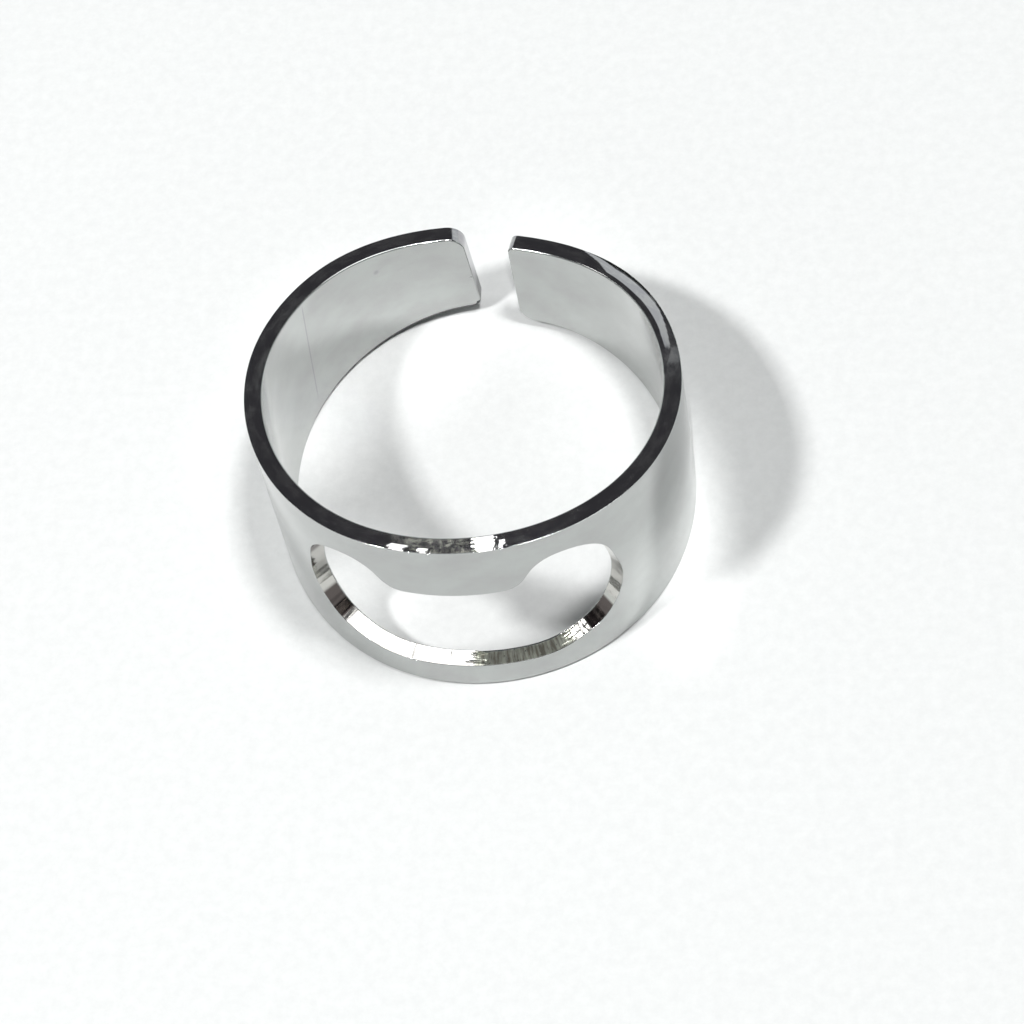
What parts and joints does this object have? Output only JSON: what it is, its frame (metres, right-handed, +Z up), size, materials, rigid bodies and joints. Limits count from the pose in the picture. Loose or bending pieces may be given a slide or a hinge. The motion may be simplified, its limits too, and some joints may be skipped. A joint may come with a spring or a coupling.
{
  "type": "bottle opener ring",
  "caption": "Open finger ring of polished steel strip, wide at the front, with a curved slot and a tongue that hooks a bottle cap.",
  "frame": {"origin": "middle of the ring's footprint on the surface that it lies on", "axes": "+Z up; the ring stands on its lower edge, its wide front with the slot towards -Y and its open ends towards +Y, so its bore leans back from +Z"},
  "size_m": [0.024, 0.0248, 0.0123],
  "materials": {
    "polished_steel": "mirror polished stainless steel, tumbled edges"
  },
  "bodies": {
    "root": {"band": "polished_steel"}
  },
  "joints": []
}
